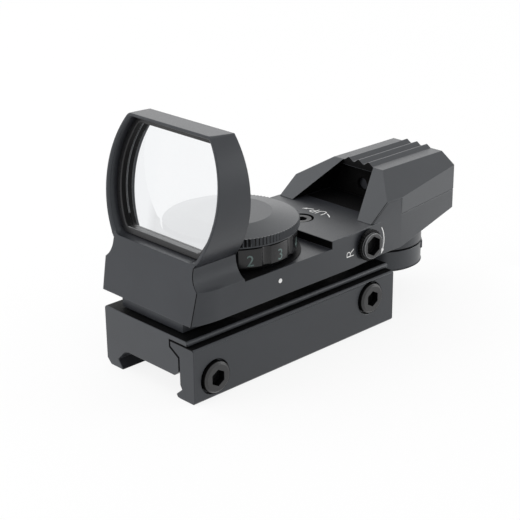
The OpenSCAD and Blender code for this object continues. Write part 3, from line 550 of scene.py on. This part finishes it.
faceMarks = {
    "housing": recessMark,
    "rail_base": clampMark("rail_base"),
    "clamp_jaw": clampMark("clamp_jaw"),
    "battery_cap": knurlMark,
    "dial_ring": footMark,
    "emitter_cover": mouthMark,
    "lens_ring": ringMark,
    "front_clamp_screw": socketMark("front_clamp_screw", {"axis": 0, "socket": 1.8, "outer": 3.165}),
    "rear_clamp_screw": socketMark("rear_clamp_screw", {"axis": 0, "socket": 1.8, "outer": 3.165}),
    "elevation_screw": socketMark("elevation_screw", {"axis": 2, "socket": 1.6, "outer": 2.1}),
    "windage_screw": socketMark("windage_screw", {"axis": 0, "socket": 2.2, "collar": 0.68, "lip": 2.5}),
}
easedPieces = {name: easedCopy(name, ease, faceMarks.get(name)) for name, ease in edgeEases.items()}
print("eased the edges of", len(easedPieces), "pieces")


# copies of the two springs; the windage spring rides with its body, the elevation spring stays put in the
# scene
def springCopy(name, rides):
    mesh = nodes[name].data.copy()
    mesh.name = name + "_wound"
    mesh.materials.clear()
    return standIn(name, mesh, [finishes[slotOf(name)]], rides)


def fitWindageSpring():
    piece = springCopy("windage_spring", True)
    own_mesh(piece)


def fitElevationSpring():
    piece = springCopy("elevation_spring", False)
    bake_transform(piece)


fitWindageSpring()
fitElevationSpring()
print("fitted the two springs")


# marks: flat outlines pressed on the surface below them
def flatMesh(name, outline, thick):
    body = bmesh.new()
    corners = [body.verts.new((x, y, 0)) for x, y in outline]
    face = body.faces.new(corners)
    grown = bmesh.ops.extrude_face_region(body, geom=[face])
    for item in grown["geom"]:
        if isinstance(item, bmesh.types.BMVert):
            item.co.z += thick
    bmesh.ops.recalc_face_normals(body, faces=body.faces)
    mesh = bpy.data.meshes.new(name)
    body.to_mesh(mesh)
    body.free()
    return mesh


def letterMesh(name, text, height, thick, slim=0):
    curve = bpy.data.curves.new(name, "FONT")
    curve.body = text
    curve.size = height * 1.37  # the font's capitals are 0.73 of its size
    curve.align_x = "CENTER"
    curve.align_y = "CENTER"
    curve.extrude = thick / 2
    curve.offset = -slim
    curve.resolution_u = 4
    holder = bpy.data.objects.new(name, curve)
    scene.collection.objects.link(holder)
    bpy.context.view_layer.update()
    shown = holder.evaluated_get(bpy.context.evaluated_depsgraph_get())
    mesh = bpy.data.meshes.new_from_object(shown)
    bpy.data.objects.remove(holder)
    bpy.data.curves.remove(curve)
    middleY = (max(v.co.y for v in mesh.vertices) + min(v.co.y for v in mesh.vertices)) / 2
    middleX = (max(v.co.x for v in mesh.vertices) + min(v.co.x for v in mesh.vertices)) / 2
    mesh.transform(Matrix.Translation((-middleX, -middleY, 0)))
    return mesh


def addMark(name, mesh, paint, body):
    mesh.materials.clear()
    mesh.materials.append(paints.get(paint) or finishes[paint])
    piece = bpy.data.objects.new(name, mesh)
    scene.collection.objects.link(piece)
    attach(piece, body)
    return piece


dialNumbers = {
    "count": 12, "height": 2.35, "turn": 3.5, "facing": 3, "thick": 0.04, "sunk": 0.015, "below": 2.35,
}


def paintDialNumbers(look):
    low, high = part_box("dial_ring")
    axis = middle("dial_ring")
    radius = (high.x - low.x) / 2
    row = high.z - look["below"] * mm
    for number in range(look["count"]):
        mesh = letterMesh("number", str(number), look["height"] * mm, look["thick"] * mm)
        angle = math.radians((number - look["facing"]) * 360 / look["count"] + look["turn"])
        for vert in mesh.vertices:
            turn = angle + vert.co.x / radius
            reach = radius + vert.co.z + (look["thick"] / 2 - look["sunk"]) * mm
            vert.co = (
                axis.x + reach * math.cos(turn),
                axis.y + reach * math.sin(turn),
                row + vert.co.y,
            )
        addMark("dial_number_" + str(number), mesh, "number_paint", "dial")


paintDialNumbers(dialNumbers)


def surfaceOf(piece):
    mesh = piece.data
    mesh.calc_loop_triangles()
    return BVHTree.FromPolygons(
        [vert.co.copy() for vert in mesh.vertices], [tuple(tri.vertices) for tri in mesh.loop_triangles]
    )


housingSurface = surfaceOf(easedPieces["housing"])


# lays a flat mark on the housing, looking for its surface from a little outside
def pressMark(name, mesh, origin, right, up, lift):
    out = right.cross(up)
    outside = out * 10 * mm
    for vert in mesh.vertices:
        start = origin + right * vert.co.x + up * vert.co.y + outside
        hit = housingSurface.ray_cast(start, -out)[0]
        ground = hit if hit else start - outside
        vert.co = ground + out * (vert.co.z + lift)
    addMark(name, mesh, "white_paint", "sight")


# a curved line whose width runs from the first to the last of widths, as a closed strip
def arcMesh(name, radius, first, last, widths, thick, steps):
    body = bmesh.new()
    rings = []
    for step in range(steps + 1):
        share = step / steps
        angle = math.radians(first + (last - first) * share)
        half = (widths[0] + (widths[1] - widths[0]) * share) / 2
        inner = radius - half
        outer = radius + half
        ring = []
        for reach, height in ((inner, 0), (outer, 0), (outer, thick), (inner, thick)):
            place = (reach * mm * math.cos(angle), reach * mm * math.sin(angle), height)
            ring.append(body.verts.new(place))
        rings.append(ring)
    for ring, after in zip(rings, rings[1:]):
        for corner in range(4):
            other = (corner + 1) % 4
            body.faces.new((ring[corner], ring[other], after[other], after[corner]))
    body.faces.new(rings[0])
    body.faces.new(rings[-1])
    bmesh.ops.recalc_face_normals(body, faces=body.faces)
    mesh = bpy.data.meshes.new(name)
    body.to_mesh(mesh)
    body.free()
    return mesh


# painted shade: thin black sheets on the deck, a ring round the dial's foot and a flat on either side of
# the neck
shadeSheets = {
    "inner": 12.6, "outer": 14.1, "sweep": 359.9, "steps": 96, "thick": 0.06, "below": 0.13,
    "near": 8, "far": 14.4, "front": -19.2, "back": -8,
}


def layWellSheets(look):
    axis = middle("dial_ring")
    level = dialLow - look["below"] * mm
    thick = look["thick"] * mm
    radius = (look["outer"] + look["inner"]) / 2
    width = look["outer"] - look["inner"]
    mesh = arcMesh("dial_shade_ring", radius, 0, look["sweep"], (width, width), thick, look["steps"])
    mesh.transform(Matrix.Translation((axis.x, axis.y, level)))
    addMark("dial_shade_ring", mesh, "painted_shade_black", "sight")
    front = look["front"] * mm
    back = look["back"] * mm
    for side, name in ((1, "shade_sheet_right"), (-1, "shade_sheet_left")):
        near = side * look["near"] * mm
        far = side * look["far"] * mm
        mesh = flatMesh(name, [(near, front), (far, front), (far, back), (near, back)], thick)
        mesh.transform(Matrix.Translation((0, 0, level - thick)))
        addMark(name, mesh, "painted_shade_black", "sight")


layWellSheets(shadeSheets)

# painted shade: a matt black sheet on the deck inside the emitter's mouth
mouthShadeSheet = {"half": 9.3, "front": 26.3, "level": 18.9, "thick": 0.05, "sunk": 0.02}


def layMouthSheet(look):
    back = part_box("emitter_bezel")[0].y
    front = look["front"] * mm
    half = look["half"] * mm
    outline = [(-half, front), (half, front), (half, back), (-half, back)]
    mesh = flatMesh("mouth_shade_sheet", outline, look["thick"] * mm)
    mesh.transform(Matrix.Translation((0, 0, (look["level"] - look["sunk"]) * mm)))
    addMark("mouth_shade_sheet", mesh, "painted_shade_black", "sight")


layMouthSheet(mouthShadeSheet)

# index dot of the dial, and the arrow and the letter beside the windage screw
sideMarks = {
    "start": 30, "thick": 0.03, "lift": -0.008,
    "dot": 0.95, "dotSides": 24, "dotBelow": 7.35, "dotAside": 0.4,
    "arc": 5.5, "stroke": 0.24, "arcFrom": 33, "arcTo": -22, "arcAside": 0.35, "arcLow": 0.7,
    "head": 0.85, "tip": 0.04, "headFrom": -21, "headTo": -33,
    "letter": 2.4, "slim": 0.065, "letterAside": 5.6, "letterLow": 0.4,
}


def paintSideMarks(look):
    right = Vector((0, 1, 0))
    up = Vector((0, 0, 1))
    thick = look["thick"] * mm
    lift = look["lift"] * mm
    start = look["start"] * mm
    screw = middle("windage_screw")
    radius = look["dot"] / 2 * mm
    turns = [2 * math.pi * side / look["dotSides"] for side in range(look["dotSides"])]
    outline = [(radius * math.cos(turn), radius * math.sin(turn)) for turn in turns]
    mesh = flatMesh("index_dot", outline, thick)
    aside = middle("dial_ring").y - look["dotAside"] * mm
    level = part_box("dial_ring")[1].z - look["dotBelow"] * mm
    pressMark("index_dot", mesh, Vector((start, aside, level)), right, up, lift)
    centre = Vector((start, screw.y + look["arcAside"] * mm, screw.z - look["arcLow"] * mm))
    widths = (look["stroke"], look["stroke"])
    mesh = arcMesh("turn_arc", look["arc"], look["arcFrom"], look["arcTo"], widths, thick, steps=16)
    pressMark("turn_arc", mesh, centre, right, up, lift)
    widths = (look["head"], look["tip"])
    mesh = arcMesh("turn_arrow", look["arc"], look["headFrom"], look["headTo"], widths, thick, steps=5)
    pressMark("turn_arrow", mesh, centre, right, up, lift)
    mesh = letterMesh("turn_letter", "R", look["letter"] * mm, thick, look["slim"] * mm)
    foot = Vector((start, screw.y - look["letterAside"] * mm, screw.z - look["letterLow"] * mm))
    pressMark("turn_letter", mesh, foot, up, -right, lift)


paintSideMarks(sideMarks)

# the arrow and the letters beside the elevation screw
deckMarks = {
    "thick": 0.03, "lift": -0.008,
    "arc": 6.0, "stroke": 0.24, "sweeps": {"lift_arc_right": (47, 67), "lift_arc_left": (108, 123)},
    "head": 0.7, "tip": 0.04, "headFrom": 122, "headTo": 133,
    "letter": 2.5, "slim": 0.045, "out": 5.2,
}


def paintDeckMarks(look):
    right = Vector((1, 0, 0))
    up = Vector((0, 1, 0))
    thick = look["thick"] * mm
    lift = look["lift"] * mm
    centre = Vector((screwMiddle.x, screwMiddle.y, screwTop))
    widths = (look["stroke"], look["stroke"])
    for name, (first, last) in look["sweeps"].items():
        mesh = arcMesh(name, look["arc"], first, last, widths, thick, steps=8)
        pressMark(name, mesh, centre, right, up, lift)
    widths = (look["head"], look["tip"])
    mesh = arcMesh("lift_arrow", look["arc"], look["headFrom"], look["headTo"], widths, thick, steps=5)
    pressMark("lift_arrow", mesh, centre, right, up, lift)
    mesh = letterMesh("lift_letters", "UP", look["letter"] * mm, thick, look["slim"] * mm)
    pressMark("lift_letters", mesh, centre + up * look["out"] * mm, -right, -up, lift)


paintDeckMarks(deckMarks)
print("painted the marks")

# camera: the photograph's viewpoint, with its centre in millimetres of the part's frame
cameraPlace = {
    "centre": (192.03, -179.36, 118.04), "lens": 94.84, "sensor": 36,
    "right": (0.6909, 0.7229, -0.0101), "back": (0.6742, -0.6392, 0.3699),
}


def placeCamera(place):
    data = bpy.data.cameras.new("camera")
    data.lens = place["lens"]
    data.sensor_width = place["sensor"]
    data.clip_start = 0.01
    data.clip_end = 20
    cam = bpy.data.objects.new("camera", data)
    scene.collection.objects.link(cam)
    back = Vector(place["back"]).normalized()
    right = (Vector(place["right"]) - back * Vector(place["right"]).dot(back)).normalized()
    up = back.cross(right)
    turn = Matrix((right, up, back)).transposed().to_4x4()
    cam.matrix_world = Matrix.Translation(Vector(place["centre"]) * mm) @ turn
    scene.camera = cam


placeCamera(cameraPlace)

# floor, sky and lamps
floorLook = {"size": 6, "tone": 0.86, "shadowShare": 0.14}
skyLook = {"horizon": 0.5, "top": 1.0}
lampLooks = {
    "top_lamp": {"at": (0.05, 0.05, 0.75), "size": 0.7, "watts": 0.6},
    "back_lamp": {"at": (-0.58, 0.55, 0.36), "size": 0.7, "watts": 0.8},
    "front_lamp": {"at": (-0.35, -0.6, 0.14), "size": 0.4, "watts": 2.9, "mirrored": False},
    "high_lamp": {"at": (-0.6, -0.25, 0.6), "size": 0.45, "watts": 0.9},
    "side_lamp": {"at": (0.3, 0.5, 0.13), "size": 0.25, "watts": 0.6},
    "tail_lamp": {"at": (0.037, 0.06, 0.0), "size": 0.05, "watts": 0.0033},
}


# one where the camera or a reflection looks straight at a surface, with the camera's share set
def seenRay(tree, cameraShare):
    path = tree.nodes.new("ShaderNodeLightPath")
    share = tree.nodes.new("ShaderNodeMath")
    share.operation = "MULTIPLY"
    share.inputs[1].default_value = cameraShare
    first = tree.nodes.new("ShaderNodeMath")
    first.operation = "MAXIMUM"
    second = tree.nodes.new("ShaderNodeMath")
    second.operation = "MAXIMUM"
    tree.links.new(path.outputs["Is Camera Ray"], share.inputs[0])
    tree.links.new(share.outputs[0], first.inputs[0])
    tree.links.new(path.outputs["Is Glossy Ray"], first.inputs[1])
    tree.links.new(first.outputs[0], second.inputs[0])
    tree.links.new(path.outputs["Is Transmission Ray"], second.inputs[1])
    return second.outputs[0]


def makeFloor(look):
    mesh = bpy.data.meshes.new("floor")
    half = look["size"] / 2
    low = cadBox[0].z
    mesh.from_pydata(
        [(-half, -half, low), (half, -half, low), (half, half, low), (-half, half, low)], [], [(0, 1, 2, 3)]
    )
    mat = bpy.data.materials.new("floor_white")
    mat.use_nodes = True
    tree = mat.node_tree
    tree.nodes.clear()
    out = tree.nodes.new("ShaderNodeOutputMaterial")
    matt = tree.nodes.new("ShaderNodeBsdfDiffuse")
    matt.inputs["Color"].default_value = (look["tone"], look["tone"], look["tone"], 1)
    glow = tree.nodes.new("ShaderNodeEmission")
    glow.inputs["Strength"].default_value = 1
    mix = tree.nodes.new("ShaderNodeMixShader")
    tree.links.new(seenRay(tree, 1 - look["shadowShare"]), mix.inputs[0])
    tree.links.new(matt.outputs[0], mix.inputs[1])
    tree.links.new(glow.outputs[0], mix.inputs[2])
    tree.links.new(mix.outputs[0], out.inputs["Surface"])
    mesh.materials.append(mat)
    floor = bpy.data.objects.new("floor", mesh)
    scene.collection.objects.link(floor)


def makeSky(look):
    world = bpy.data.worlds.new("studio")
    world.use_nodes = True
    tree = world.node_tree
    tree.nodes.clear()
    out = tree.nodes.new("ShaderNodeOutputWorld")
    white = tree.nodes.new("ShaderNodeBackground")
    white.inputs["Color"].default_value = (1, 1, 1, 1)
    soft = tree.nodes.new("ShaderNodeBackground")
    soft.inputs["Color"].default_value = (1, 1, 1, 1)
    place = tree.nodes.new("ShaderNodeTexCoord")
    split = tree.nodes.new("ShaderNodeSeparateXYZ")
    level = tree.nodes.new("ShaderNodeMapRange")
    level.inputs["From Min"].default_value = 0
    level.inputs["From Max"].default_value = 1
    level.inputs["To Min"].default_value = look["horizon"]
    level.inputs["To Max"].default_value = look["top"]
    mix = tree.nodes.new("ShaderNodeMixShader")
    tree.links.new(place.outputs["Generated"], split.inputs[0])
    tree.links.new(split.outputs["Z"], level.inputs["Value"])
    tree.links.new(level.outputs["Result"], soft.inputs["Strength"])
    tree.links.new(seenRay(tree, 1), mix.inputs[0])
    tree.links.new(soft.outputs[0], mix.inputs[1])
    tree.links.new(white.outputs[0], mix.inputs[2])
    tree.links.new(mix.outputs[0], out.inputs["Surface"])
    scene.world = world


def hangLamp(name, look):
    data = bpy.data.lights.new(name, "AREA")
    data.shape = "SQUARE"
    data.size = look["size"]
    data.energy = look["watts"]
    lamp = bpy.data.objects.new(name, data)
    lamp.location = look["at"]
    lamp.rotation_mode = "QUATERNION"
    lamp.rotation_quaternion = (-Vector(look["at"])).to_track_quat("-Z", "Y")
    lamp.visible_camera = False
    lamp.visible_glossy = look.get("mirrored", True)
    scene.collection.objects.link(lamp)


makeFloor(floorLook)
makeSky(skyLook)
for name, look in lampLooks.items():
    hangLamp(name, look)
print("set the floor, the sky and", len(lampLooks), "lamps")
